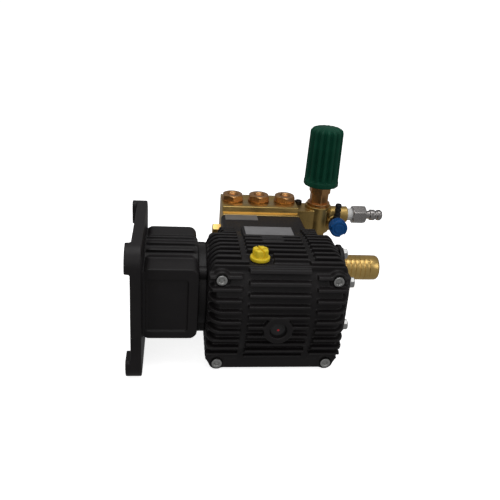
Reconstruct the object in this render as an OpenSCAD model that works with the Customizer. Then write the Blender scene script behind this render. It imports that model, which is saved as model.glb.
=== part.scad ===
// Direct-drive triplex plunger pump for a pressure washer.
// Frame: +X along the crankshaft away from the engine, +Y from crankcase to manifold, +Z up.
// Origin: crankshaft axis where it meets the engine mounting face.

/* [Engine side] */
// Diameter of the engine shaft that the hollow crankshaft takes
shaft_d = 25.4; // [22.2:0.1:28.6]
// Bolt circle of the engine flange
flange_pcd = 165.1; // [160:0.1:175]
// Half width of the square engine flange
flange_half = 69; // [68:0.5:74]
// Hole diameter for the engine bolts
flange_hole_d = 10.5; // [8.5:0.5:11]
// Thickness of the flange plate without its pads
flange_t = 10; // [8:0.5:12]
// Height of the four seating pads
pad_t = 5; // [3:0.5:6]

/* [Crankcase] */
// Width of the crankcase along the crankshaft
case_w = 133; // [131:1:140]
// Crankcase face nearest the engine
case_x0 = 75; // [75:0.5:80]
// Highest point of the crowned top
case_top = 52.5; // [51:0.5:56]
// Depth of the case bottom under the crankshaft
case_bottom = 67; // [65:0.5:68]
// Height of the cooling fins over the skin
fin_h = 5.5; // [3:0.5:5.5]
// Thickness of the cooling fins
fin_t = 3.2; // [2.4:0.2:4]
// Wall thickness of the castings
wall_t = 5; // [4:0.5:6]

/* [Crank train] */
// Distance between neighbouring plungers
plunger_pitch = 31; // [31:0.5:32]
// Crank throw, half the stroke
throw_r = 3; // [1.5:0.25:3]
// Plunger diameter
plunger_d = 18; // [15:0.5:18]
// Distance from crank pin centre to wrist pin centre
rod_l = 60; // [60:0.5:61]

/* [Valve head] */
// Distance from crankshaft to the valve column
valve_y = 126; // [125:0.5:128]
// Valve lift
valve_lift = 2; // [1:0.25:2.5]
// Width of the brass manifold
manifold_w = 88; // [88:1:92]

/* [Knobs] */
// Diameter of the pressure knob at its foot
knob_d = 41; // [38:0.5:44]
// Length of the pressure knob
knob_l = 69; // [60:1:70]
// Diameter of the injector knob
injector_d = 21; // [19:0.5:23]

/* [Hidden] */
$fn = 48;

black = "#2b2a2c";
brass = "#c9a24b";
bronze = "#c08850";
steel = "#b9bcc0";
dark_steel = "#6d7076";
rubber = "#1b1b1c";

run_gap = 0.03;
cut = 0.5;
pin_count = 3;

// Crankcase skin and openings
case_x1 = case_x0 + case_w;
mid_x = case_x0 + case_w / 2;
joint_y = -45;
step_y = 21;
step_z = 34;
block_y = 49;
body_back = 70;
head_y = 94;
top_w = 106;
case_corner = 15;
crown_y = -9;
crown_r = 228;
shelf_z = 40;
rim_t = 4;
column_half = 29;
band_w = 6.3;
top_fin_pitch = 8.6;
top_fin_count = 10;
block_w = 92;
foot_z = -flange_half;

// Bell between engine flange and crankcase
flange_corner = 17;
bell_r = 47.5;
bell_rib_r = 51;
bell_rib_t = 2.8;
bell_rib_angles = [8, 20, 32, 44];
bell_front = 50.5;
bell_x1 = 66.4;
bell_cavity_r = 38;
neck_r = 42;
lug_r = 6.5;
flange_screw_at = [-28.5, 28.5];

// Rear cover
cover_r = 84;
cover_y = 16;
cover_plan_r = 16;
seal_t = 0.6;
cover_z = -2;
cover_fin_pitch = 10.5;
cover_fin_top = 44;
cover_fin_count = 10;
cover_bolt_x = 54.6;
cover_bolt_top = 36;
cover_bolt_low = -59;
boss_r = 8;
sight_z = -11;
sight_r = 13.8;
sight_face_y = -68.5;
upper_seat_y = -54;
lower_seat_y = -48;

// Bearings: centre, bore radius, outer radius, width, ball radius, ball count
left_bearing = [84, 20, 34, 15, 4.2, 9];
right_bearing = [196, 15, 31, 16, 4.6, 8];
left_boss_r = 38.4;
right_boss_r = 35.6;
bolt_boss_r = 7.2;
bearing_bolts = [[-34.5, 24], [-34.5, -24], [0, 38.5], [0, -38.5], [34.5, 24], [34.5, -24]];
drain_at = [30, -50];

// Crank train
plunger_x = [for (i = [-1:1]) mid_x + i * plunger_pitch];
phase = [0, 120, 240];
shaft_r = shaft_d / 2;
shaft_in_x = 22;
shaft_bore_l = 72;
pin_r = 20;
rod_w = 14;
eye_w = 12;
wrist_r = 3.5;
eye_half_y = wrist_r + 2 * throw_r + 0.3;
eye_half_z = wrist_r + throw_r + 0.3;
guide_r = 14;
guide_solid = 19.5;
guide_front = 24.5;
plunger_r = plunger_d / 2;
plunger_l = 28.5;

// Valve head
head_back_y = 144;
shoulder_y = 102.3;
manifold_top = 47;
manifold_low = -52;
flange_top = 40.5;
outlet_z = 32.2;
inlet_z = -39.6;
valve_r = 10;
throat_r = 7;
outlet_seat_z = 12;
inlet_seat_z = -27;
seat_t = 6;
poppet_r = 8.8;
poppet_t = 2.5;
spring_mid_r = 7.9;
cap_af = 22;
cap_hex_top = 54.4;
manifold_screw_at = [[-15.5, 19], [15.5, 19], [-15.5, -19], [15.5, -19]];
left_port_z = 7;

// Unloader
unloader_x = 214;
unloader_top = 44;
stem_top = 100;
stem_bore_r = 7;
knob_z0 = 69.3;
follower_z = 90;
spring_z = 48;
block_x0 = manifold_w / 2 + mid_x;
arm_x1 = 250;
arm_r = 9.75;
injector_x = 235;
injector_z = 25;
injector_barb_y = valve_y - 15.1;
barb_x1 = 300;
barb_r = 15.8;

// Oil filler
cap_x = 123.5;
cap_y = -34.5;
cap_pad_z = 46.5;

// Plates
label_low = [mid_x - 25.5, 19.5];
label_high = [mid_x + 24.5, 42.5];
label_z = 47.6;
plate_t = 0.5;

// --- helpers -------------------------------------------------------------

module rounded(w, h, r) {
    union() {
        square([w - 2 * r, h], center = true);
        square([w, h - 2 * r], center = true);
        for (sx = [-1, 1], sz = [-1, 1])
            translate([sx * (w / 2 - r), sz * (h / 2 - r)]) circle(r);
    }
}

module hexagon(af) {
    circle(r = af / 2 / cos(30), $fn = 6);
}

// Profile drawn as (y, z), pushed out along +X
module along_x(x0, len) {
    translate([x0, 0, 0]) rotate([90, 0, 90]) linear_extrude(len) children();
}

// Profile drawn as (x, z), pushed out along +Y
module along_y(y0, len) {
    translate([0, y0 + len, 0]) rotate([90, 0, 0]) linear_extrude(len) children();
}

module rod_x(r, x0, x1) {
    translate([x0, 0, 0]) rotate([0, 90, 0]) cylinder(r = r, h = x1 - x0);
}

module rod_y(r, y0, y1) {
    translate([0, y1, 0]) rotate([90, 0, 0]) cylinder(r = r, h = y1 - y0);
}

module rod_z(r, z0, z1) {
    translate([0, 0, z0]) cylinder(r = r, h = z1 - z0);
}

// Block given by its two extreme corners
module block(low, high) {
    translate(low) cube(high - low);
}

module ring_y(r_out, r_in, y0, y1) {
    difference() {
        rod_y(r_out, y0, y1);
        rod_y(r_in, y0 - cut, y1 + cut);
    }
}

module ring_z(r_out, r_in, z0, z1) {
    difference() {
        rod_z(r_out, z0, z1);
        rod_z(r_in, z0 - cut, z1 + cut);
    }
}

// Socket head screw along Z: head above z = 0, shank below
module socket_screw(d, len, head_r, head_h) {
    difference() {
        union() {
            rod_z(d / 2, -len, 0.5);
            rod_z(head_r, 0, head_h);
        }
        translate([0, 0, head_h * 0.4]) linear_extrude(head_h) hexagon(d * 0.8);
    }
}

// Flanged hex bolt along Z: head above z = 0, shank below
module hex_bolt(d, len, af, head_h) {
    rod_z(d / 2, -len, 0.5);
    rod_z(af / 2 + 1, 0, 1);
    linear_extrude(head_h) hexagon(af);
}

// Square-wire coil standing on z = 0
module coil(mid_r, wire, turns, height) {
    share = min(0.62, wire * turns / height) * 360;
    steps = 5;
    linear_extrude(height, twist = -360 * turns, slices = turns * 16, $fn = 12)
        polygon(concat(
            [for (i = [0:steps]) (mid_r + wire / 2) * [cos(i * share / steps), sin(i * share / steps)]],
            [for (i = [steps:-1:0]) (mid_r - wire / 2) * [cos(i * share / steps), sin(i * share / steps)]]));
}

// --- crankcase -------------------------------------------------------------

// Side view of the crowned top (y, z)
module crowned_side(inset) {
    translate([crown_y, case_top - inset - crown_r]) circle(crown_r, $fn = 128);
}

// Front view of the case (x, z), drawn in by inset
module case_front(inset, w = case_w, top = case_top, r = case_corner) {
    translate([mid_x, (top - case_bottom) / 2])
        rounded(w - 2 * inset, top + case_bottom - 2 * inset, r - inset);
}

// Wide crank chamber, narrower top behind it and wide lower body under that
module case_envelope(inset) {
    intersection() {
        along_x(case_x0 - cut, case_w + 2 * cut) crowned_side(inset);
        union() {
            along_y(joint_y, step_y - joint_y) case_front(inset);
            along_y(step_y - 1, block_y + 1 - step_y) case_front(inset, top_w, case_top, 13);
        }
    }
    along_y(step_y - 1, body_back - step_y + 1) case_front(inset, case_w, step_z, 11);
}

module side_fin_slabs() {
    for (i = [0:top_fin_count - 1])
        translate([case_x0 - cut, joint_y + 9 + i * top_fin_pitch, -case_bottom + 8])
            cube([case_w + 2 * cut, fin_t, case_bottom + case_top]);
}

module middle_fin_slabs() {
    for (i = [0:top_fin_count - 4]) {
        y = joint_y + 4.7 + i * top_fin_pitch;
        block([mid_x - column_half + (i < 2 ? 24 : 0), y, 30],
            [mid_x + column_half, y + fin_t, case_top + 2]);
    }
}

module case_fins() {
    difference() {
        side_fin_slabs();
        block([mid_x - column_half - band_w, joint_y, 30],
            [mid_x + column_half + band_w, block_y + 1, case_top + 2]);
    }
    middle_fin_slabs();
    difference() {
        block([case_x0 - cut, joint_y, -case_bottom], [case_x1 + cut, joint_y + rim_t, case_top + 2]);
        block([mid_x - column_half, joint_y - cut, case_top - fin_h - 1],
            [mid_x + column_half, joint_y + rim_t + cut, case_top + 3]);
    }
}

module guide_block() {
    translate([mid_x, 0, 0]) intersection() {
        along_y(block_y - 2, head_y - block_y + 2)
            translate([0, (shelf_z - 58) / 2]) rounded(block_w, shelf_z + 58, 4);
        block([-block_w, block_y - 2, -60], [block_w, head_y, shelf_z]);
    }
}

// Open inside of the crank chamber, without the bosses that stand in it
module chamber_space() {
    skin = fin_h + wall_t;
    low = -case_bottom + skin;
    top = case_top - skin - 3;
    block([case_x0 + skin - 1, joint_y - cut, low], [case_x1 - skin + 1, step_y - fin_h, top]);
    block([case_x0 + skin - 1, joint_y - cut, low], [case_x1 - skin + 1, block_y, step_z - skin]);
    block([mid_x - top_w / 2 + skin, joint_y - cut, low],
        [mid_x + top_w / 2 - skin, block_y - fin_h, top - 3]);
}

// Round housings of the two crankshaft bearings
module bearing_bosses() {
    rod_x(left_boss_r, case_x0, left_bearing[0] + left_bearing[3] / 2 + 0.5);
    rod_x(right_boss_r, right_bearing[0] - right_bearing[3] / 2 - 1.5, case_x1);
    for (p = bearing_bolts) translate([0, p[0], p[1]]) rod_x(bolt_boss_r, case_x1 - fin_h - 2, case_x1);
}

module crankcase() {
    color(black) difference() {
        union() {
            case_envelope(fin_h);
            intersection() {
                case_envelope(0);
                case_fins();
            }
            guide_block();
            along_x(case_x0, fin_h + 1) neck_outline();
            bearing_bosses();
            // filler pad, label pad and small blank pad
            translate([cap_x, cap_y, 0]) rod_z(10.4, case_top - 12, cap_pad_z);
            block([label_low[0] - 3, label_low[1] - 2.5, 40],
                [label_high[0] + 3, label_high[1] + 2.5, label_z]);
            block([mid_x - 11, -2.5, 40], [mid_x + 10.5, 13, 50]);
            // feet
            for (sx = [-1, 1])
                block([mid_x + sx * 49 - 8, -34, foot_z],
                    [mid_x + sx * 49 + 8, 44, -case_bottom + fin_h + 2]);
        }
        // crank chamber
        difference() {
            chamber_space();
            bearing_bosses();
            for (sx = [-1, 1], z = [cover_bolt_top, cover_bolt_low])
                translate([mid_x + sx * cover_bolt_x, 0, z]) rod_y(boss_r, joint_y, joint_y + 24);
        }
        // bearing seats and shaft seal seat
        rod_x(left_bearing[2], left_bearing[0] - left_bearing[3] / 2, 100);
        rod_x(left_bearing[2] - 5, case_x0 - cut, 80);
        rod_x(right_bearing[2], 180, case_x1 + cut);
        // guide and seal bores
        for (x = plunger_x) translate([x, 0, 0]) {
            rod_y(guide_r + run_gap, block_y - 1, head_y - 5.8);
            rod_y(guide_r, head_y - 5.8, head_y + cut);
        }
        // screw holes
        for (sx = [-1, 1], z = [cover_bolt_top, cover_bolt_low])
            translate([mid_x + sx * cover_bolt_x, 0, z]) rod_y(3, joint_y - cut, joint_y + 18);
        for (p = bearing_bolts) translate([0, p[0], p[1]]) rod_x(3, case_x1 - 6.9, case_x1 + cut);
        for (p = manifold_screw_at)
            translate([mid_x + p[0], 0, p[1]]) rod_y(4, head_y - 20, head_y + cut);
        for (y = flange_screw_at, z = flange_screw_at)
            translate([0, y, z]) rod_x(3, case_x0 - cut, case_x0 + 5.5);
        for (sx = [-1, 1], y = [-24, 36])
            translate([mid_x + sx * 49, y, 0]) rod_z(3.4, foot_z - cut, foot_z + 11.5);
        // oil filler and drain
        translate([cap_x, cap_y, 0]) rod_z(6 + run_gap, 38, cap_pad_z + cut);
        translate([0, drain_at[0], drain_at[1]]) rod_x(5, case_x1 - 12, case_x1 + cut);
    }
}

// --- rear cover ------------------------------------------------------------

// Dome of the cover: a cylinder along X with rounded upright corners
module cover_dome(r, inset) {
    back = cover_y - r;
    intersection() {
        translate([0, cover_y, cover_z]) rod_x(r, case_x0 + inset, case_x1 - inset);
        along_y(back - 2, joint_y - back + 2) case_front(inset);
        translate([mid_x, joint_y, -case_bottom]) linear_extrude(case_bottom + case_top - 3 - inset)
            rounded(case_w - 2 * inset, 2 * (joint_y - back), cover_plan_r - inset);
        block([case_x0, back - 2, -case_bottom], [case_x1, joint_y - seal_t, case_top]);
    }
}

module cover_fin_slabs() {
    for (i = [0:cover_fin_count]) {
        z = cover_fin_top - i * cover_fin_pitch;
        block([mid_x - column_half, cover_y - cover_r, z - fin_t / 2],
            [mid_x + column_half, joint_y - 2, z + fin_t / 2]);
    }
    for (i = [0:cover_fin_count - 1], sx = [-1, 1]) {
        z = cover_fin_top - (i + 0.5) * cover_fin_pitch;
        side = sx > 0 ? mid_x + column_half + band_w : case_x0 - cut;
        block([side, cover_y - cover_r, z - fin_t / 2],
            [side + case_w / 2 - column_half - band_w + cut, joint_y - 2, z + fin_t / 2]);
    }
}

module rear_cover() {
    color(black) difference() {
        union() {
            along_y(joint_y - rim_t, rim_t - seal_t) intersection() {
                case_front(1);
                translate([case_x0, -case_bottom]) square([case_w, case_bottom + case_top - 5]);
            }
            cover_dome(cover_r - fin_h, fin_h);
            intersection() {
                cover_dome(cover_r, 0);
                cover_fin_slabs();
            }
            translate([mid_x, 0, sight_z]) rod_y(sight_r, sight_face_y, upper_seat_y);
            for (sx = [-1, 1]) {
                translate([mid_x + sx * cover_bolt_x, 0, cover_bolt_top])
                    rod_y(boss_r, upper_seat_y - 2, joint_y - seal_t);
                translate([mid_x + sx * cover_bolt_x, 0, cover_bolt_low])
                    rod_y(boss_r, lower_seat_y - 2, joint_y - seal_t);
            }
        }
        // hollow
        intersection() {
            translate([0, cover_y, cover_z]) rod_x(cover_r - fin_h - wall_t, case_x0 + 20, case_x1 - 20);
            block([case_x0 + 20, cover_y - cover_r, -50], [case_x1 - 20, joint_y + cut, 40]);
        }
        translate([mid_x, 0, sight_z]) {
            rod_y(8.2, sight_face_y - cut, sight_face_y + 5);
            rod_y(7, sight_face_y, joint_y);
        }
        for (sx = [-1, 1]) {
            translate([mid_x + sx * cover_bolt_x, 0, cover_bolt_top]) {
                rod_y(3.2, upper_seat_y - 10, joint_y);
                rod_y(5.5, upper_seat_y - 10, upper_seat_y);
            }
            translate([mid_x + sx * cover_bolt_x, 0, cover_bolt_low]) {
                rod_y(3.2, lower_seat_y - 10, joint_y);
                rod_y(5.5, lower_seat_y - 10, lower_seat_y);
            }
        }
    }
}

module rear_cover_seal() {
    color(rubber) difference() {
        along_y(joint_y - seal_t, seal_t) case_front(1.5, case_w, case_top - 6);
        along_y(joint_y - 1, 2) translate([mid_x, -9]) rounded(case_w - 14, 101, 8);
        for (sx = [-1, 1], z = [cover_bolt_top, cover_bolt_low])
            translate([mid_x + sx * cover_bolt_x, 0, z]) rod_y(3.2, joint_y - 2, joint_y + 1);
    }
}

// Socket screws of the rear cover and of the engine flange
module socket_screws() {
    color(dark_steel) for (y = flange_screw_at, z = flange_screw_at)
        translate([69, y, z]) rotate([0, -90, 0]) socket_screw(6, 11, 5, 6);
    color(steel) for (sx = [-1, 1]) {
        translate([mid_x + sx * cover_bolt_x, upper_seat_y, cover_bolt_top])
            rotate([90, 0, 0]) socket_screw(6, 24, 5, 4);
        translate([mid_x + sx * cover_bolt_x, lower_seat_y, cover_bolt_low])
            rotate([90, 0, 0]) socket_screw(6, 18, 5, 4);
    }
}

module sight_glass() {
    color("#3a4148") translate([mid_x, 0, sight_z]) rod_y(8.2, sight_face_y + 2.4, sight_face_y + 5);
}

module sight_glass_dial() {
    color("#c22a2a") translate([mid_x, 0, sight_z]) rod_y(6.8, sight_face_y + 5.1, sight_face_y + 6.1);
}

// --- bearing cover, flange and seals ----------------------------------------

module bearing_cover_outline() {
    union() {
        rounded(88, 64, 15);
        rounded(36, 92, 15);
        circle(42);
    }
}

module bearing_cover() {
    color(black) difference() {
        union() {
            along_x(case_x1, 4) bearing_cover_outline();
            rod_x(31.5, case_x1 + 3, case_x1 + 6.5);
            rod_x(right_bearing[2] - run_gap, right_bearing[0] + right_bearing[3] / 2, case_x1 + 1);
            for (p = bearing_bolts) translate([0, p[0], p[1]]) rod_x(6.8, case_x1 + 3, case_x1 + 4.5);
        }
        rod_x(26, case_x1 - 10, case_x1 + 1.5);
        rod_x(17, case_x1 + 4.5, case_x1 + 10);
        for (p = bearing_bolts) translate([0, p[0], p[1]]) rod_x(3.2, case_x1 - 1, case_x1 + 6);
    }
}

module bearing_cover_bolts() {
    color(steel) for (p = bearing_bolts)
        translate([case_x1 + 4.5, p[0], p[1]]) rotate([0, 90, 0]) hex_bolt(6, 10.5, 10, 5.2);
}

module drain_plug() {
    color(steel) translate([case_x1, drain_at[0], drain_at[1]]) rotate([0, 90, 0]) hex_bolt(10, 9, 12, 5);
}

module shaft_oil_seal() {
    color(rubber) difference() {
        rod_x(left_bearing[2] - 5, 69.5, 76.3);
        rod_x(19 + run_gap, 68, 78);
    }
}

module neck_outline() {
    circle(neck_r);
    for (y = flange_screw_at, z = flange_screw_at) translate([y, z]) circle(lug_r);
}

// Ribs that stand out above and below the round bell
module bell_ribs() {
    x0 = pad_t + flange_t - 1;
    for (a = bell_rib_angles, side = [-1, 1])
        rotate([side * a, 0, 0]) along_y(-bell_rib_t / 2, bell_rib_t)
            translate([(x0 + bell_x1) / 2, 0]) rounded(bell_x1 - x0, 2 * bell_rib_r, 7);
}

// Flat box on each side of the bell with a sunk panel
module bell_sides() {
    x0 = pad_t + flange_t - 1;
    difference() {
        along_y(-bell_front, 2 * bell_front)
            translate([(x0 + bell_x1) / 2, 6]) rounded(bell_x1 - x0, 74, 8);
        for (sy = [-1, 1])
            translate([0, sy * bell_front, 0]) along_y(-2, 4)
                translate([37.5, 4.5]) rounded(39, 55, 3);
    }
}

module engine_flange() {
    ear = flange_pcd / 2 / sqrt(2);
    color(black) difference() {
        union() {
            along_x(pad_t, flange_t) rounded(2 * flange_half, 2 * flange_half, flange_corner);
            along_x(0, pad_t + 1) intersection() {
                rounded(2 * flange_half, 2 * flange_half, flange_corner);
                for (sy = [-1, 1], sz = [-1, 1])
                    translate([sy * (flange_half - 11), sz * (flange_half - 12)]) rounded(22, 24, 4);
            }
            rod_x(bell_r, pad_t + flange_t - 1, bell_x1);
            bell_ribs();
            bell_sides();
            along_x(bell_x1 - 1, case_x0 - bell_x1 + 1) neck_outline();
        }
        rod_x(bell_cavity_r, -cut, 62);
        rod_x(left_bearing[2] - 5, 60, case_x0 + cut);
        for (sy = [-1, 1], sz = [-1, 1])
            translate([0, sy * ear, sz * ear]) rod_x(flange_hole_d / 2, -cut, pad_t + flange_t + cut);
        for (y = flange_screw_at, z = flange_screw_at) translate([0, y, z]) {
            rod_x(3.2, 60, case_x0 + cut);
            rod_x(5.6, 50, 69);
        }
    }
}

// --- bearings ----------------------------------------------------------------

function ball_circle(b) = (b[1] + b[2]) / 2;

module race(b, r_in, r_out) {
    rotate([0, 90, 0]) translate([0, 0, b[0]]) rotate_extrude() difference() {
        translate([r_in, -b[3] / 2]) square([r_out - r_in, b[3]]);
        translate([ball_circle(b), 0]) circle(b[4] + 0.05);
    }
}

module bearing_outer_races() {
    color(steel) for (b = [left_bearing, right_bearing]) race(b, ball_circle(b) + 2.8, b[2]);
}

module bearing_inner_races() {
    color(steel) for (b = [left_bearing, right_bearing]) race(b, b[1], ball_circle(b) - 2.8);
}

module bearing_cages() {
    color(brass) for (b = [left_bearing, right_bearing]) {
        difference() {
            rod_x(ball_circle(b) + 1.6, b[0] - 5.4, b[0] + 5.4);
            rod_x(ball_circle(b) - 1.6, b[0] - 6, b[0] + 6);
        }
        for (i = [0:b[5] - 1])
            rotate([i * 360 / b[5], 0, 0]) translate([b[0], 0, ball_circle(b)]) sphere(b[4]);
    }
}

// --- crank train ---------------------------------------------------------------

module crankshaft() {
    color(dark_steel) difference() {
        union() {
            rod_x(19, shaft_in_x, left_bearing[0] - left_bearing[3] / 2);
            rod_x(left_bearing[1], left_bearing[0] - left_bearing[3] / 2, plunger_x[0] - rod_w / 2 - 2);
            rod_x(16, plunger_x[0] - rod_w / 2 - 3, right_bearing[0] - right_bearing[3] / 2);
            rod_x(right_bearing[1], right_bearing[0] - right_bearing[3] / 2 - 1, right_bearing[0] + 10);
            for (i = [0:pin_count - 1])
                translate([0, throw_r * cos(phase[i]), throw_r * sin(phase[i])])
                    rod_x(pin_r, plunger_x[i] - rod_w / 2 - 1, plunger_x[i] + rod_w / 2 + 1);
        }
        rod_x(shaft_r, shaft_in_x - cut, shaft_in_x + shaft_bore_l);
        block([shaft_in_x - cut, -3.18, 0], [shaft_in_x + 60, 3.18, shaft_r + 2.8]);
    }
}

// Rod standing level: big end round the crank pin, open eye round the wrist pin
module con_rod(i) {
    color("#a8abb0")
    translate([plunger_x[i], throw_r * cos(phase[i]), throw_r * sin(phase[i])]) difference() {
        union() {
            rod_x(pin_r + 7.5, -rod_w / 2, rod_w / 2);
            block([-eye_w / 2, 20, -9], [eye_w / 2, rod_l - eye_half_y, 9]);
            along_x(-eye_w / 2, eye_w)
                translate([rod_l, 0]) rounded(2 * eye_half_y + 6, 2 * eye_half_z + 5, 5);
        }
        rod_x(pin_r + run_gap, -rod_w, rod_w);
        along_x(-rod_w, 2 * rod_w)
            translate([rod_l, 0]) rounded(2 * eye_half_y, 2 * eye_half_z, wrist_r);
    }
}

function wrist_y(i) = rod_l + throw_r * cos(phase[i]);

module plunger_guide(i) {
    color("#8d9196") translate([plunger_x[i], wrist_y(i), 0]) difference() {
        union() {
            rod_y(guide_r, -8, guide_front);
            rod_y(4, guide_front - 1, guide_front + 8);
        }
        block([-eye_w / 2 - 0.8, -9, -guide_r - 1], [eye_w / 2 + 0.8, guide_solid, guide_r + 1]);
        rod_x(wrist_r, -guide_r - 1, guide_r + 1);
    }
}

module wrist_pin(i) {
    color(steel) translate([plunger_x[i], wrist_y(i), 0]) rod_x(wrist_r, -13.2, 13.2);
}

module plunger(i) {
    color("#ece8dd") translate([plunger_x[i], wrist_y(i) + guide_front, 0]) difference() {
        rod_y(plunger_r, 0, plunger_l);
        rod_y(4, -cut, 8.2);
    }
}

module plunger_oil_seals() {
    color(rubber) for (x = plunger_x) translate([x, 0, 0])
        ring_y(guide_r, plunger_r + run_gap, head_y - 5.6, head_y - 0.2);
}

module packing_glands() {
    color(brass) for (x = plunger_x) translate([x, 0, 0])
        ring_y(guide_r, plunger_r + 0.2, head_y + 0.3, head_y + 7);
}

module plunger_packings() {
    color("#dcd8c8") for (x = plunger_x) translate([x, 0, 0])
        ring_y(guide_r, plunger_r + run_gap, head_y + 7, head_y + 15);
}

// --- valve head ------------------------------------------------------------------

module manifold() {
    color(brass) difference() {
        union() {
            block([mid_x - manifold_w / 2, shoulder_y, manifold_low],
                [mid_x + manifold_w / 2, head_back_y, manifold_top]);
            block([mid_x - manifold_w / 2, head_y, manifold_low],
                [mid_x + manifold_w / 2, shoulder_y + 1, flange_top]);
        }
        for (x = plunger_x) translate([x, 0, 0]) {
            rod_y(guide_r, head_y - cut, head_y + 15);
            rod_y(valve_r, head_y + 14, valve_y);
            translate([0, valve_y, 0]) {
                rod_z(throat_r, inlet_seat_z + seat_t + 14, outlet_seat_z + 1);
                rod_z(valve_r, manifold_low - cut, inlet_seat_z + seat_t + 14);
                rod_z(valve_r, outlet_seat_z, manifold_top + cut);
            }
        }
        translate([0, valve_y, outlet_z]) rod_x(5.5, plunger_x[0], block_x0 + cut);
        translate([0, valve_y, inlet_z]) rod_x(8, mid_x - manifold_w / 2 - cut, block_x0 + cut);
        translate([0, valve_y, left_port_z]) rod_x(4.5, mid_x - manifold_w / 2 - cut, plunger_x[0] - 5);
        for (p = manifold_screw_at)
            translate([mid_x + p[0], 0, p[1]]) rod_y(4.2, head_y - cut, head_back_y + cut);
        for (z = [44, 4]) translate([block_x0 - 10, valve_y + (z > 20 ? 8 : 10), z - 22])
            rod_x(2.5, 0, 10 + cut);
    }
}

module manifold_screws() {
    color(dark_steel) for (p = manifold_screw_at)
        translate([mid_x + p[0], head_back_y, p[1]]) rotate([-90, 0, 0]) socket_screw(8, 66, 6.5, 8);
}

// Threaded cap standing on z = 0, head up, plug down
module valve_cap(plug, head) {
    difference() {
        union() {
            rod_z(valve_r, -plug, 1);
            rod_z(12.5, 0, 1.5);
            translate([0, 0, 1]) linear_extrude(head - 1) hexagon(cap_af);
        }
        rod_z(6, head - 2.2, head + 1);
        rod_z(5.5, -plug - 1, -plug + 6);
    }
}

module outlet_valve_caps() {
    color(bronze) for (x = plunger_x)
        translate([x, valve_y, manifold_top]) valve_cap(12, cap_hex_top - manifold_top);
}

module inlet_valve_caps() {
    color(bronze) for (x = plunger_x)
        translate([x, valve_y, manifold_low]) mirror([0, 0, 1]) valve_cap(4, 7);
}

module cap_seals() {
    color(rubber) for (x = plunger_x) translate([x, valve_y, 0]) {
        ring_z(valve_r, 7.5, manifold_top - 14, manifold_top - 12);
        ring_z(valve_r, 7.5, manifold_low + 4, manifold_low + 4.4);
    }
}

module valve_seats() {
    color(steel) for (x = plunger_x, z = [outlet_seat_z, inlet_seat_z])
        translate([x, valve_y, 0]) ring_z(valve_r, 6, z, z + seat_t);
}

// Disc with a guide nose that reaches down into the seat
module poppet(i, seat_z) {
    color(steel) translate([plunger_x[i], valve_y, seat_z + seat_t + 0.05]) {
        rod_z(poppet_r, 0, poppet_t);
        rod_z(4.5, -3, 0.5);
        rod_z(4, poppet_t - 0.5, poppet_t + 2);
    }
}

module valve_springs(seat_z, top_z) {
    base = seat_z + seat_t + poppet_t + 0.1;
    color(steel) for (x = plunger_x)
        translate([x, valve_y, base]) coil(spring_mid_r, 1.3, 3, top_z - base);
}

module outlet_valve_springs() {
    valve_springs(outlet_seat_z, manifold_top - 14.1);
}

module inlet_valve_springs() {
    valve_springs(inlet_seat_z, inlet_seat_z + seat_t + 13.9);
}

module port_plugs() {
    color(brass) for (p = [[left_port_z, 4.5, 14, 9], [inlet_z, 8, 19, 6]])
        translate([mid_x - manifold_w / 2, valve_y, p[0]]) {
            rod_x(p[1], 0, 2.8);
            along_x(-p[3], p[3]) hexagon(p[2]);
        }
}

module inlet_barb() {
    color(brass) translate([0, valve_y, inlet_z]) difference() {
        union() {
            rod_x(8, block_x0 - 10, block_x0 + 1);
            along_x(block_x0, 14) hexagon(30);
            rod_x(14.4, block_x0 + 14, barb_x1 - 12);
            for (i = [0:7])
                rod_x(barb_r, barb_x1 - 18.6 - i * 6, barb_x1 - 13.4 - i * 6);
            rod_x(barb_r, barb_x1 - 12.6, barb_x1 - 3);
            rod_x(barb_r - 1.6, barb_x1 - 4, barb_x1);
        }
        rod_x(6, block_x0 - 11, block_x0 + 15);
        rod_x(11, block_x0 + 14.9, barb_x1 + cut);
    }
}

// --- unloader ---------------------------------------------------------------------

module unloader_body() {
    color(brass) difference() {
        union() {
            block([block_x0, valve_y - 14, 12], [block_x0 + 37, valve_y + 14, 40]);
            translate([unloader_x, valve_y, 0]) rod_z(15.5, 12, unloader_top);
            block([block_x0 + 21.5, valve_y - 11, -20], [block_x0 + 37, valve_y + 11, 13]);
            translate([0, valve_y, outlet_z]) rod_x(arm_r, unloader_x, arm_x1);
            block([block_x0 + 30, valve_y - 8, 14], [block_x0 + 52, valve_y + 8, outlet_z]);
            translate([injector_x, 0, injector_z]) rod_y(8.5, valve_y - 10.6, valve_y);
        }
        translate([unloader_x, valve_y, 0]) {
            rod_z(9, unloader_top - 4, unloader_top + cut);
            rod_z(5 + run_gap, 30, unloader_top);
        }
        translate([0, valve_y, outlet_z]) {
            rod_x(4.5, block_x0 - cut, arm_x1 + cut);
            rod_x(6.5, arm_x1 - 10, arm_x1 + cut);
        }
        translate([injector_x, 0, injector_z]) rod_y(5, valve_y - 13, valve_y - 4);
        translate([block_x0 + 6, valve_y + 9, 0]) rod_z(2.6, 30.8, 40 + cut);
        translate([block_x0 + 6, valve_y - 9, 0]) rod_z(2.6, 12 - cut, 21.2);
        for (z = [22, -18]) translate([block_x0, valve_y + (z > 20 ? 8 : 10), z])
            rod_x(2.7, -cut, 8);
    }
}

module unloader_screws() {
    color(dark_steel) translate([block_x0 + 6, valve_y + 9, 40]) socket_screw(5, 9, 4.2, 5);
    color(dark_steel) translate([block_x0 + 6, valve_y - 9, 12]) mirror([0, 0, 1]) socket_screw(5, 9, 4.2, 5);
}

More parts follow.
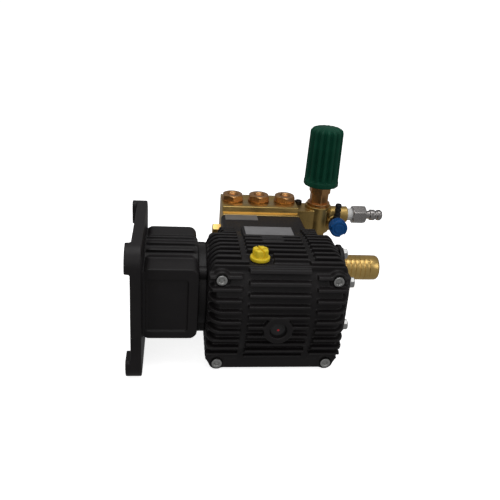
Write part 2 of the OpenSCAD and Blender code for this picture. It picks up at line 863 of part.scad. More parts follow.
module unloader_stem() {
    color(bronze) translate([unloader_x, valve_y, 0]) difference() {
        union() {
            rod_z(9, unloader_top - 4, unloader_top + 1);
            rod_z(13.5, unloader_top, unloader_top + 3.5);
            translate([0, 0, unloader_top + 3]) linear_extrude(13) hexagon(20);
            translate([0, 0, unloader_top + 15.5]) linear_extrude(10) hexagon(23);
            rod_z(9, unloader_top + 20, stem_top);
        }
        rod_z(stem_bore_r, unloader_top - 5, stem_top + cut);
    }
}

module unloader_piston() {
    color(steel) translate([unloader_x, valve_y, 0]) {
        rod_z(5, 37.5, unloader_top + 0.6);
        rod_z(6.6, unloader_top + 0.1, spring_z);
    }
}

module unloader_spring() {
    color(dark_steel) translate([unloader_x, valve_y, spring_z + 0.05])
        coil(5.5, 2, 7, follower_z - spring_z - 0.1);
}

module spring_follower() {
    color(steel) translate([unloader_x, valve_y, 0]) {
        rod_z(stem_bore_r - 0.05, follower_z, follower_z + 7);
        rod_z(3, follower_z + 6, stem_top + 6);
    }
}

module unloader_knob() {
    color("#0e5b3b") translate([unloader_x, valve_y, knob_z0]) difference() {
        union() {
            cylinder(r1 = knob_d / 2, r2 = knob_d / 2 - 1, h = knob_l - 3, $fn = 64);
            translate([0, 0, knob_l - 3]) cylinder(r1 = knob_d / 2 - 1, r2 = knob_d / 2 - 5, h = 3, $fn = 64);
        }
        for (i = [0:11]) rotate([0, 0, i * 30 + 15])
            translate([knob_d / 2 + 0.6, 0, 5]) cylinder(r = 3, h = knob_l);
        rod_z(16.4, -cut, 5);
        rod_z(9.05, 4, stem_top + 6 - knob_z0);
    }
}

// --- outlet fittings ------------------------------------------------------------------

module thread_tape() {
    color("#f2f1ec") translate([0, valve_y, outlet_z]) difference() {
        rod_x(7.4, arm_x1, arm_x1 + 6.8);
        rod_x(6.5, arm_x1 - 1, arm_x1 + 8);
    }
}

module outlet_nipple() {
    color("#9c9a98") translate([0, valve_y, outlet_z]) difference() {
        union() {
            rod_x(6.5, arm_x1 - 9, arm_x1 + 8);
            along_x(arm_x1 + 7, 16.5) hexagon(19.5);
            rod_x(5, arm_x1 + 23, arm_x1 + 30);
            rod_x(6.6, arm_x1 + 29, arm_x1 + 35.5);
            rod_x(5.4, arm_x1 + 35, arm_x1 + 38.5);
            rod_x(6.6, arm_x1 + 38, arm_x1 + 43);
            rod_x(5.6, arm_x1 + 42.5, arm_x1 + 44.5);
        }
        rod_x(3, arm_x1 - 10, arm_x1 + 45);
    }
}

module injector_body() {
    color("#1c1c1e") translate([injector_x, injector_barb_y, injector_z]) difference() {
        union() {
            rod_y(5, -4, 9);
            rod_y(8, -4.5, 4.3);
            rod_z(4.2, 4, 20);
            for (z = [12, 17, 22]) rod_z(3.95, z, z + 3.5);
            rod_z(3.3, 4, 25.5);
        }
        rod_z(1.8, 0, 26);
    }
}

module injector_knob() {
    color("#1b6fc0") translate([injector_x, injector_barb_y, injector_z]) difference() {
        rod_y(injector_d / 2, -15.9, -4.7);
        for (a = [0:120:240]) rotate([0, a + 30, 0])
            translate([injector_d / 2 - 1.2, -16.9, -2.6]) cube([4, 5, 5.2]);
        rod_y(7, -10.9, -4.5);
    }
}

// --- oil filler and plates ------------------------------------------------------------

module oil_cap() {
    color("#f2d200") translate([cap_x, cap_y, cap_pad_z]) {
        rod_z(6, -7.5, 1);
        rod_z(9.5, 0.85, 4.4);
        difference() {
            rod_z(7.6, 4, 11.8);
            for (a = [0, 90]) rotate([0, 0, a + 20]) block([-10, -0.8, 7], [10, 0.8, 13]);
        }
    }
}

module oil_cap_ring() {
    color(rubber) translate([cap_x, cap_y, cap_pad_z]) ring_z(8.8, 6.1, 0, 0.8);
}

module nameplates() {
    color("#d8d8d8")
        block([label_low[0], label_low[1], label_z], [label_high[0], label_high[1], label_z + plate_t]);
    color("#9a9a9c")
        block([mid_x - 42, head_y - 15, shelf_z], [mid_x - 5.5, head_y - 0.2, shelf_z + plate_t]);
}

// --- drawing ----------------------------------------------------------------------------

crankcase();
rear_cover();
rear_cover_seal();
socket_screws();
bearing_cover();
bearing_cover_bolts();
engine_flange();
shaft_oil_seal();
bearing_outer_races();
plunger_oil_seals();
sight_glass();
sight_glass_dial();
drain_plug();
manifold();
manifold_screws();
outlet_valve_caps();
inlet_valve_caps();
cap_seals();
valve_seats();
plunger_packings();
packing_glands();
port_plugs();
outlet_valve_springs();
inlet_valve_springs();
unloader_body();
unloader_stem();
unloader_screws();
outlet_nipple();
thread_tape();
injector_body();
inlet_barb();
nameplates();
crankshaft();
bearing_inner_races();
bearing_cages();
con_rod(0);  // con_rod_1
con_rod(1);  // con_rod_2
con_rod(2);  // con_rod_3
plunger_guide(0);  // plunger_guide_1
plunger_guide(1);  // plunger_guide_2
plunger_guide(2);  // plunger_guide_3
wrist_pin(0);  // wrist_pin_1
wrist_pin(1);  // wrist_pin_2
wrist_pin(2);  // wrist_pin_3
plunger(0);  // plunger_1
plunger(1);  // plunger_2
plunger(2);  // plunger_3
poppet(0, outlet_seat_z);  // outlet_poppet_1
poppet(1, outlet_seat_z);  // outlet_poppet_2
poppet(2, outlet_seat_z);  // outlet_poppet_3
poppet(0, inlet_seat_z);  // inlet_poppet_1
poppet(1, inlet_seat_z);  // inlet_poppet_2
poppet(2, inlet_seat_z);  // inlet_poppet_3
unloader_spring();
unloader_piston();
spring_follower();
unloader_knob();
injector_knob();
oil_cap_ring();
oil_cap();
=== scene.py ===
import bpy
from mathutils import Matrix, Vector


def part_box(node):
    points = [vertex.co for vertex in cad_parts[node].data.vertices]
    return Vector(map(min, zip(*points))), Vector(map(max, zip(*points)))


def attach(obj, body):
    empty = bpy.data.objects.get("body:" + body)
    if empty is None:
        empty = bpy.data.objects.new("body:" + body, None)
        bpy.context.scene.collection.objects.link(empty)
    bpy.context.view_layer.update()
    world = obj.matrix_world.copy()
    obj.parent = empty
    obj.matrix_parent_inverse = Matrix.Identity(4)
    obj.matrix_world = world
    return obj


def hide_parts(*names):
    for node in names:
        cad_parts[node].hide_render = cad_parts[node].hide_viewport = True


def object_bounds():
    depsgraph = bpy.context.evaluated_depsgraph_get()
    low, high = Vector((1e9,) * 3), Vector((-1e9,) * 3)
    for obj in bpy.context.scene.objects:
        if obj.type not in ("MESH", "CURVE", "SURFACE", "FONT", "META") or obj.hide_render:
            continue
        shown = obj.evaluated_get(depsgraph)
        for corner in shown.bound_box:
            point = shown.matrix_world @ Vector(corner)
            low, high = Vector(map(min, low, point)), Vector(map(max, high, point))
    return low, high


bl_info = {
    "name": "Triplex plunger pump",
    "version": (1, 0, 0),
    "blender": (4, 5, 0),
    "location": "3D View > Sidebar > Pump",
    "description": "Dresses the packed triplex pump model with its castings, brass fittings and knobs",
    "category": "Object",
}

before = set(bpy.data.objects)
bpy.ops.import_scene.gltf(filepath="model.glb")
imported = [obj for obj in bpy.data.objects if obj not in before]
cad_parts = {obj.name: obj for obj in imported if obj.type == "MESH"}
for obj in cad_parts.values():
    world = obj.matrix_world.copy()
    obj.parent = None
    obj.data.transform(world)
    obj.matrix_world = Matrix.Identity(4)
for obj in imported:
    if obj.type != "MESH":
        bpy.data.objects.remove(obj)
CAD_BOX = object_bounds()

import math

import bmesh
import bpy
from bpy.props import FloatProperty, FloatVectorProperty, IntProperty, PointerProperty
from mathutils import Matrix, Vector

MM = 0.001
TURN = 2 * math.pi
TINY = 1e-6
BLUNT = math.radians(155)

AXES = {
    "X": (Vector((1, 0, 0)), Vector((0, 1, 0)), Vector((0, 0, 1))),
    "-X": (Vector((-1, 0, 0)), Vector((0, 1, 0)), Vector((0, 0, -1))),
    "Y": (Vector((0, 1, 0)), Vector((0, 0, 1)), Vector((1, 0, 0))),
    "-Y": (Vector((0, -1, 0)), Vector((0, 0, 1)), Vector((-1, 0, 0))),
    "Z": (Vector((0, 0, 1)), Vector((1, 0, 0)), Vector((0, 1, 0))),
    "-Z": (Vector((0, 0, -1)), Vector((1, 0, 0)), Vector((0, -1, 0))),
}

# Positions below are in millimetres, in the pump's own frame
CAP_HALF = 12.7
COVER_SCREW_X = 54.6
COVER_SCREW_SEATS = ((-54, 36, 24), (-48, -59, 18))
BELL_SCREW_X = 69
BELL_SCREW_YZ = 28.5
BEARING_BOLTS = ((-34.5, 24), (-34.5, -24), (0, 38.5), (0, -38.5), (34.5, 24), (34.5, -24))
DRAIN_PLUG = (30, -50)
HEAD_SCREW_X = 15.5
HEAD_SCREW_Z = 19
UNLOADER_SCREWS = (("Z", 135, 40), ("-Z", 117, 12))


# --- sizes and colours -------------------------------------------------------

def size(name, description, default, low=0.0, high=1.0):
    return FloatProperty(
        name=name, description=description, default=default, min=low, max=high,
        subtype="DISTANCE", unit="LENGTH", precision=4,
    )


def colour(name, description, default):
    return FloatVectorProperty(
        name=name, description=description, default=default, min=0.0, max=1.0,
        size=3, subtype="COLOR",
    )


class PumpSizes(bpy.types.PropertyGroup):
    """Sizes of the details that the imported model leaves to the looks"""

    casting_grid: size("Casting grid", "Cell size that the castings are smoothed on", 0.0008, 0.0004, 0.003)
    forging_grid: size("Forging grid", "Cell size that the unloader is smoothed on", 0.0005, 0.0003, 0.002)
    machined_edge: size("Machined edge", "Chamfer on the edges of machined blocks", 0.0006, 0.0001, 0.002)
    turned_edge: size("Turned edge", "Rounding on the corners of turned fittings", 0.0005, 0.0001, 0.002)
    casting_passes: IntProperty(
        name="Casting smoothing", description="Smoothing passes on the castings", default=3, min=0, max=20,
    )
    knob_ribs: IntProperty(
        name="Knob ribs", description="Grip ribs round the pressure knob", default=15, min=6, max=60,
    )
    dial_ribs: IntProperty(
        name="Dosing knob ribs", description="Fine ribs round the dosing knob", default=40, min=8, max=90,
    )


class PumpColours(bpy.types.PropertyGroup):
    """Colours of the pump's finishes"""

    casting: colour("Casting", "Black coat of the aluminium castings", (0.0100, 0.0084, 0.0090))
    brass: colour("Brass", "Machined brass of the manifold", (0.62, 0.42, 0.145))
    bronze: colour("Bronze", "Valve caps and unloader stem", (0.60, 0.32, 0.130))
    zinc: colour("Zinc", "Plated screws", (0.54, 0.54, 0.53))
    stainless: colour("Stainless steel", "Outlet coupler plug", (0.43, 0.41, 0.40))
    green: colour("Pressure knob", "Plastic of the pressure knob", (0.006, 0.060, 0.034))
    blue: colour("Dosing knob", "Plastic of the dosing knob", (0.007, 0.086, 0.290))
    yellow: colour("Oil cap", "Plastic of the oil filler cap", (0.90, 0.66, 0.030))
    floor: colour("Floor", "Paper under the pump", (0.94, 0.94, 0.94))


def sizes():
    return bpy.context.scene.pump_sizes


def colours():
    return bpy.context.scene.pump_colours


# --- finishes ----------------------------------------------------------------

class Finish:
    """A node material, with the nodes that most finishes share"""

    def __init__(self, name, **values):
        self.material = bpy.data.materials.new(name)
        self.material.use_nodes = True
        self.tree = self.material.node_tree
        self.shader = self.tree.nodes["Principled BSDF"]
        self.place = self.tree.nodes.new("ShaderNodeTexCoord").outputs["Object"]
        for key, value in values.items():
            self.set(key.replace("_", " ").title().replace("Ior", "IOR"), value)

    def set(self, socket, value):
        self.shader.inputs[socket].default_value = value
        return self

    def node(self, kind, links=(), **values):
        node = self.tree.nodes.new(kind)
        for key, value in values.items():
            setattr(node, key, value)
        for socket, source in dict(links).items():
            self.feed(node.inputs[socket], source)
        return node

    def feed(self, socket, source):
        if hasattr(source, "is_linked"):
            self.tree.links.new(source, socket)
        else:
            socket.default_value = source

    def stretched(self, stretch=(1, 1, 1)):
        node = self.node("ShaderNodeMapping", {"Vector": self.place, "Scale": stretch})
        return node.outputs["Vector"]

    def noise(self, scale, detail=2.0, stretch=(1, 1, 1), roughness=0.5, distortion=0.0):
        node = self.node("ShaderNodeTexNoise", {
            "Vector": self.stretched(stretch), "Scale": scale, "Detail": detail,
            "Roughness": roughness, "Distortion": distortion,
        })
        return node.outputs["Fac"]

    def ramp(self, factor, stops):
        node = self.node("ShaderNodeValToRGB", {"Fac": factor})
        band = node.color_ramp
        while len(band.elements) < len(stops):
            band.elements.new(0.5)
        for element, (where, what) in zip(band.elements, stops):
            element.position = where
            element.color = (*what, 1.0) if len(what) == 3 else what
        return node.outputs["Color"]

    def span(self, factor, low, high, start=0.25, end=0.75):
        node = self.node("ShaderNodeMapRange", {
            "Value": factor, "From Min": start, "From Max": end, "To Min": low, "To Max": high,
        })
        return node.outputs["Result"]

    def math(self, operation, a, b=0.0, c=0.0):
        node = self.node("ShaderNodeMath", operation=operation)
        self.feed(node.inputs[0], a)
        self.feed(node.inputs[1], b)
        self.feed(node.inputs[2], c)
        return node.outputs[0]

    def blend(self, factor, a, b):
        node = self.node("ShaderNodeMix", data_type="RGBA")
        self.feed(node.inputs[0], factor)
        self.feed(node.inputs[6], a if hasattr(a, "is_linked") else (*a, 1.0))
        self.feed(node.inputs[7], b if hasattr(b, "is_linked") else (*b, 1.0))
        return node.outputs[2]

    def bump(self, height, strength, distance, under=None):
        links = {"Height": height, "Strength": strength, "Distance": distance}
        if under is not None:
            links["Normal"] = under
        return self.node("ShaderNodeBump", links).outputs["Normal"]

    def finish(self, colour=None, roughness=None, normal=None):
        if colour is not None:
            self.feed(self.shader.inputs["Base Color"], colour)
        if roughness is not None:
            self.feed(self.shader.inputs["Roughness"], roughness)
        if normal is not None:
            self.feed(self.shader.inputs["Normal"], normal)
        return self.material


def shade(base, factor):
    return tuple(min(1.0, c * factor) for c in base)


def once(make):
    """Each finish is made the first time that a piece asks for it"""
    def get():
        name = "pump_" + make.__name__
        return bpy.data.materials.get(name) or make(name)
    return get


@once
def cast_black(name):
    base = colours().casting
    f = Finish(name, metallic=0.0, specular_ior_level=0.30)
    cloud = f.noise(28, 3.0)
    grain = f.noise(1500, 2.0, roughness=0.7)
    orange = f.noise(420, 2.0)
    tint = f.ramp(cloud, [(0.3, shade(base, 0.82)), (0.7, shade(base, 1.25))])
    dust = f.span(f.noise(95, 4.0, roughness=0.65), 0.0, 0.35, 0.52, 0.8)
    dusty = f.blend(dust, tint, shade(base, 2.1))
    speck = f.span(grain, 0.0, 1.0, 0.66, 0.78)
    flecked = f.blend(speck, dusty, shade(base, 1.9))
    rough = f.span(f.math("ADD", f.math("MULTIPLY", orange, 0.6), f.math("MULTIPLY", cloud, 0.4)), 0.42, 0.56)
    height = f.math("ADD", f.math("MULTIPLY", grain, 0.35), orange)
    return f.finish(flecked, rough, f.bump(height, 0.5, 0.00012))


def metal(name, base, rough, brushed=(1, 1, 1), depth=0.00004, dark=0.80, light=1.10, grain_scale=900):
    """A bare machined metal: fine tool marks, faint stains and cleaner patches"""
    f = Finish(name, metallic=1.0)
    cloud = f.noise(60, 3.0, distortion=0.4)
    marks = f.noise(grain_scale, 3.0, stretch=brushed, roughness=0.65)
    tint = f.ramp(f.math("ADD", f.math("MULTIPLY", cloud, 0.65), f.math("MULTIPLY", marks, 0.35)),
                  [(0.30, shade(base, dark)), (0.55, tuple(base)), (0.75, shade(base, light))])
    spread = f.span(f.math("ADD", f.math("MULTIPLY", marks, 0.6), f.math("MULTIPLY", cloud, 0.4)),
                    rough * 0.78, rough * 1.3)
    return f.finish(tint, spread, f.bump(marks, 0.5, depth))


@once
def brass(name):
    return metal(name, colours().brass, 0.30, brushed=(0.12, 1, 1))


@once
def cast_brass(name):
    return metal(name, shade(colours().brass, 0.93), 0.38, depth=0.00008, grain_scale=500, dark=0.72)


@once
def turned_brass(name):
    return metal(name, shade(colours().brass, 1.35), 0.30, brushed=(3, 0.25, 0.25), depth=0.00001)


@once
def bronze(name):
    return metal(name, colours().bronze, 0.30, brushed=(0.5, 0.5, 2), dark=0.74)


@once
def zinc_steel(name):
    return metal(name, colours().zinc, 0.30, grain_scale=1400)


@once
def stainless(name):
    return metal(name, colours().stainless, 0.24, brushed=(3, 0.3, 0.3))


@once
def bearing_steel(name):
    return metal(name, (0.62, 0.62, 0.63), 0.16, brushed=(3, 0.3, 0.3), dark=0.9)


@once
def rod_alloy(name):
    return metal(name, (0.56, 0.56, 0.57), 0.42, grain_scale=500, depth=0.0001)


@once
def black_steel(name):
    return metal(name, (0.055, 0.053, 0.052), 0.42, grain_scale=900)


@once
def forged_steel(name):
    return metal(name, (0.36, 0.36, 0.37), 0.28, brushed=(3, 0.3, 0.3))


@once
def plate_foil(name):
    """Silver label in front, dull grey plate behind"""
    low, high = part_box("nameplates")
    f = Finish(name, metallic=0.1, specular_ior_level=0.3)
    streak = f.noise(900, 2.0, stretch=(0.06, 1, 1))
    grain = f.math("ADD", f.math("MULTIPLY", streak, 0.5), f.math("MULTIPLY", f.noise(70), 0.5))
    silver = f.ramp(grain, [(0.3, (0.19, 0.185, 0.19)), (0.7, (0.27, 0.265, 0.27))])
    grey = f.ramp(grain, [(0.3, (0.13, 0.123, 0.12)), (0.7, (0.185, 0.178, 0.175))])
    apart = f.node("ShaderNodeSeparateXYZ", {"Vector": f.place})
    behind = f.math("GREATER_THAN", apart.outputs["Y"], (low.y + high.y) / 2)
    return f.finish(f.blend(behind, silver, grey), f.span(streak, 0.34, 0.48), f.bump(streak, 0.3, 0.00003))


def plastic(name, base, rough=0.36, grain=1300, depth=0.00005, light=1.28, dark=0.78, shine=0.3):
    f = Finish(name, metallic=0.0, specular_ior_level=shine)
    cloud = f.noise(55, 3.0)
    fine = f.noise(grain, 2.0, roughness=0.6)
    flow = f.noise(160, 2.0, stretch=(1, 1, 0.25), distortion=0.5)
    tint = f.ramp(f.math("ADD", f.math("MULTIPLY", cloud, 0.6), f.math("MULTIPLY", flow, 0.4)),
                  [(0.3, shade(base, dark)), (0.7, shade(base, light))])
    return f.finish(tint, f.span(fine, rough * 0.8, rough * 1.25), f.bump(fine, 0.4, depth))


@once
def green_plastic(name):
    return plastic(name, colours().green, 0.40, shine=0.10)


@once
def blue_plastic(name):
    return plastic(name, colours().blue, 0.36, shine=0.20)


@once
def yellow_plastic(name):
    return plastic(name, colours().yellow, 0.32, light=1.08, dark=0.9)


@once
def black_plastic(name):
    return plastic(name, (0.012, 0.012, 0.013), 0.38)


@once
def rubber(name):
    return plastic(name, (0.014, 0.014, 0.015), 0.62, grain=800, depth=0.0001)


@once
def packing(name):
    return plastic(name, (0.42, 0.38, 0.30), 0.6, grain=600, depth=0.00015, light=1.15)


@once
def ceramic(name):
    return plastic(name, (0.80, 0.77, 0.70), 0.16, grain=1800, depth=0.00001, light=1.04, dark=0.96)


@once
def tape(name):
    f = Finish(name, metallic=0.0, specular_ior_level=0.4)
    fibre = f.noise(700, 4.0, stretch=(2.2, 0.35, 0.35), roughness=0.7)
    wrap = f.noise(900, 2.0, stretch=(1, 0.1, 0.1))
    tint = f.ramp(fibre, [(0.3, (0.66, 0.66, 0.65)), (0.65, (0.88, 0.88, 0.87))])
    return f.finish(tint, f.span(fibre, 0.5, 0.75), f.bump(f.math("ADD", fibre, wrap), 0.7, 0.0002))


@once
def sight_window(name):
    f = Finish(name, metallic=0.0, specular_ior_level=0.3, coat_weight=0.1, coat_roughness=0.08)
    oil = f.noise(140, 3.0)
    tint = f.ramp(oil, [(0.3, (0.014, 0.0135, 0.014)), (0.7, (0.030, 0.029, 0.030))])
    return f.finish(tint, f.span(oil, 0.10, 0.20), f.bump(f.noise(300), 0.1, 0.00005))


@once
def red_dial(name):
    f = Finish(name, metallic=0.0, specular_ior_level=0.5)
    tint = f.ramp(f.noise(900), [(0.3, (0.36, 0.006, 0.012)), (0.7, (0.58, 0.015, 0.02))])
    return f.finish(tint, f.span(f.noise(600), 0.3, 0.5), f.bump(f.noise(1200), 0.2, 0.00003))


@once
def paper(name):
    f = Finish(name, metallic=0.0, specular_ior_level=0.1)
    base = colours().floor
    tint = f.ramp(f.noise(3.0, 3.0), [(0.3, shade(base, 0.985)), (0.7, tuple(base))])
    f.feed(f.shader.inputs["Emission Color"], tint)
    f.set("Emission Strength", 0.9)
    return f.finish(tint, f.span(f.noise(40), 0.85, 0.95), f.bump(f.noise(900), 0.05, 0.00005))


# --- making pieces -----------------------------------------------------------

def placed(name, mesh, material, body, slot, *nodes):
    """A new object for a mesh that lies in the shared frame, riding on its body"""
    piece = bpy.data.objects.new(name, mesh)
    bpy.context.scene.collection.objects.link(piece)
    mesh.materials.clear()
    mesh.materials.append(material)
    if nodes:
        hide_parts(*nodes)
    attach(piece, body)
    return piece


def shaded(mesh, angle=40.0):
    for polygon in mesh.polygons:
        polygon.use_smooth = True
    mesh.set_sharp_from_angle(angle=math.radians(angle))
    return mesh


def hexed(half):
    """Turns a round ring into a hexagon of that half width across flats, inside its radius"""
    def at(angle, radius):
        part = (angle + TURN / 12) % (TURN / 6) - TURN / 12
        return min(radius, half / math.cos(part))
    return at


def eased(outline, radius, steps=3):
    """Rounds the corners of an outline of (along, radius, shape) points"""
    made = []
    count = len(outline)
    for i, point in enumerate(outline):
        before, after = outline[i - 1], outline[(i + 1) % count]
        here = Vector(point[:2])
        back, ahead = Vector(before[:2]) - here, Vector(after[:2]) - here
        shape = point[2] if len(point) > 2 else None
        pinched = point[1] < TINY or back.length < TINY or ahead.length < TINY
        if pinched or back.angle(ahead) > BLUNT:
            made.append((point[0], point[1], shape))
            continue
        reach = min(radius, back.length * 0.45, ahead.length * 0.45)
        start, end = here + back.normalized() * reach, here + ahead.normalized() * reach
        for k in range(steps + 1):
            t = k / steps
            spot = start * (1 - t) ** 2 + here * 2 * t * (1 - t) + end * t ** 2
            made.append((spot.x, spot.y, shape))
    return made


def turned_into(bm, at, axis, outline, segments=96, edge=0.5, lean=0.0):
    """Adds a closed turned body to bm. The outline is a loop of (along, radius[, shape]) in millimetres."""
    along, u, v = AXES[axis]
    rings = []
    for point in eased(outline, edge):
        t, radius, shape = point
        if radius < TINY:
            rings.append([bm.verts.new((Vector(at) + along * t) * MM)])
            continue
        ring = []
        for k in range(segments):
            angle = k * TURN / segments + lean
            r = shape(angle, radius) if shape else radius
            out = u * math.cos(angle) + v * math.sin(angle)
            ring.append(bm.verts.new((Vector(at) + along * t + out * r) * MM))
        rings.append(ring)
    for one, two in zip(rings, rings[1:] + rings[:1]):
        if len(one) == 1 and len(two) == 1:
            continue
        for k in range(segments):
            a, b = one[k % len(one)], one[(k + 1) % len(one)]
            c, d = two[(k + 1) % len(two)], two[k % len(two)]
            corners = [w for i, w in enumerate((a, b, c, d)) if w not in (a, b, c, d)[:i]]
            if len(corners) > 2:
                bm.faces.new(corners)
    return rings


def mesh_of(bm, name, angle=40.0):
    bmesh.ops.remove_doubles(bm, verts=bm.verts, dist=1e-7)
    bmesh.ops.recalc_face_normals(bm, faces=bm.faces)
    mesh = bpy.data.meshes.new(name)
    bm.to_mesh(mesh)
    bm.free()
    return shaded(mesh, angle)


def turned(name, bodies, angle=40.0):
    """A mesh of one or more turned bodies, each (at, axis, outline, options)"""
    bm = bmesh.new()
    for at, axis, outline, options in bodies:
        turned_into(bm, at, axis, outline, **options)
    return mesh_of(bm, name, angle)


def copied(node, name):
    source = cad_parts[node]
    mesh = source.data.copy()
    mesh.name = name
    mesh.transform(source.matrix_world)
    return mesh


def softened(node, name, grid, passes, keep=1.0):
    """The node's mesh with its edges rounded off as on a cast or forged piece"""
    bm = bmesh.new()
    bm.from_mesh(copied(node, name + "_raw"))
    bmesh.ops.remove_doubles(bm, verts=bm.verts, dist=2e-6)
    mesh = bpy.data.meshes.new(name + "_welded")
    bm.to_mesh(mesh)
    bm.free()
    holder = bpy.data.objects.new(name + "_holder", mesh)
    bpy.context.scene.collection.objects.link(holder)
    cells = holder.modifiers.new("cells", "REMESH")
    cells.mode = "VOXEL"
    cells.voxel_size = grid
    relax = holder.modifiers.new("relax", "SMOOTH")
    relax.factor = 0.5
    relax.iterations = passes
    if keep < 1.0:
        thin = holder.modifiers.new("thin", "DECIMATE")
        thin.ratio = keep
    view = bpy.context.evaluated_depsgraph_get()
    result = bpy.data.meshes.new_from_object(holder.evaluated_get(view))
    result.name = name
    bpy.data.objects.remove(holder)
    if not len(result.polygons):
        raise RuntimeError(f"{name} came out empty")
    for polygon in result.polygons:
        polygon.use_smooth = True
    return result


def chamfered(node, name, width, angle=35.0):
    """The node's mesh with a small chamfer on its sharp edges"""
    bm = bmesh.new()
    bm.from_mesh(copied(node, name + "_raw"))
    bmesh.ops.remove_doubles(bm, verts=bm.verts, dist=2e-6)
    bmesh.ops.dissolve_limit(
        bm, angle_limit=math.radians(0.5), verts=bm.verts, edges=bm.edges, use_dissolve_boundaries=False,
    )
    sharp = [e for e in bm.edges if len(e.link_faces) == 2 and e.calc_face_angle(0) > math.radians(angle)]
    bmesh.ops.bevel(
        bm, geom=sharp, offset=width, offset_type="OFFSET", segments=2, profile=0.5, affect="EDGES",
        clamp_overlap=False, material=-1,
    )
    return mesh_of(bm, name, 30.0)


def paint(material, *nodes):
    """A CAD node whose shape is right keeps it and takes a better finish"""
    for node in nodes:
        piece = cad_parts[node]
        if not piece.material_slots:
            piece.data.materials.append(material)
        for place in piece.material_slots:
            place.material = material


def middle(node):
    low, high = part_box(node)
    return (low + high) / 2 / MM


def numbered(stem):
    return [f"{stem}_{i}" for i in (1, 2, 3)]


# --- outlines in millimetres ---------------------------------------------------

def socket_head(head_r, head_h, socket_af, shank_r, length):
    hexagon = hexed(socket_af / 2)
    return [
        (-length, 0), (-length, shank_r), (0, shank_r), (0, head_r), (head_h, head_r),
        (head_h, socket_af * 0.62), (head_h - 0.5, socket_af * 0.6, hexagon),
        (head_h * 0.4, socket_af * 0.6, hexagon), (head_h * 0.4, 0),
    ]


def hex_head(af, head_h, shank_r, length, collar=1.0):
    hexagon = hexed(af / 2)
    corner = af / 2 / math.cos(TURN / 12)
    return [
        (-length, 0), (-length, shank_r), (0, shank_r), (0, af / 2 + collar), (1.0, af / 2 + collar),
        (1.0, corner, hexagon), (head_h - 1.0, corner, hexagon), (head_h, af / 2 - 0.3, hexagon),
        (head_h, 0),
    ]


def dished_cap(af, head, plug, dish_r, dish):
    hexagon = hexed(af / 2)
    corner = af / 2 / math.cos(TURN / 12)
    return [
        (-plug, 0), (-plug, 10), (0, 10), (0, 12.5), (1.5, 12.5), (1.5, corner, hexagon),
        (head - 1.2, corner, hexagon), (head, af / 2 - 0.1, hexagon), (head, dish_r + 0.8),
        (head - 0.7, dish_r), (head - dish, dish_r - 0.6), (head - dish, 0),
    ]


# --- operators ---------------------------------------------------------------

class Step(bpy.types.Operator):
    """One step of dressing the pump"""

    def execute(self, context):
        self.make()
        return {"FINISHED"}


class PUMP_OT_castings(Step):
    """Rounds off the black castings and gives them their coat"""
    bl_idname = "pump.castings"
    bl_label = "Black castings"

    def make(self):
        s = sizes()
        grid = s.casting_grid * 1.0
        for node, name in (
            ("crankcase", "crankcase_casting"), ("rear_cover", "rear_cover_casting"),
            ("engine_flange", "engine_flange_casting"), ("bearing_cover", "bearing_cover_casting"),
        ):
            mesh = softened(node, name, grid, s.casting_passes, 0.5)
            placed(name, mesh, cast_black(), "pump_body", "cast_black", node)


class PUMP_OT_manifold(Step):
    """Chamfers the machined manifold block"""
    bl_idname = "pump.manifold"
    bl_label = "Brass manifold"

    def make(self):
        mesh = chamfered("manifold", "manifold_block", sizes().machined_edge)
        placed("manifold_block", mesh, brass(), "pump_body", "brass", "manifold")


class PUMP_OT_valve_caps(Step):
    """Bronze valve caps with dished tops"""
    bl_idname = "pump.valve_caps"
    bl_label = "Valve caps"

    def make(self):
        edge = {"edge": sizes().turned_edge / MM}
        for node, name, axis, head, plug in (
            ("outlet_valve_caps", "outlet_caps", "Z", 7.4, 12),
            ("inlet_valve_caps", "inlet_caps", "-Z", 7.0, 4),
        ):
            low, high = (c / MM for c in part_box(node))
            z = high.z - head if axis == "Z" else low.z + head
            y = (low.y + high.y) / 2
            bodies = [
                ((x, y, z), axis, dished_cap(22, head, plug, 6, 2.2), {**edge, "lean": lean})
                for x, lean in zip(
                    (low.x + CAP_HALF, (low.x + high.x) / 2, high.x - CAP_HALF), (0.2, 0.5, 0.1)
                )
            ]
            placed(name, turned(name, bodies), bronze(), "pump_body", "bronze", node)


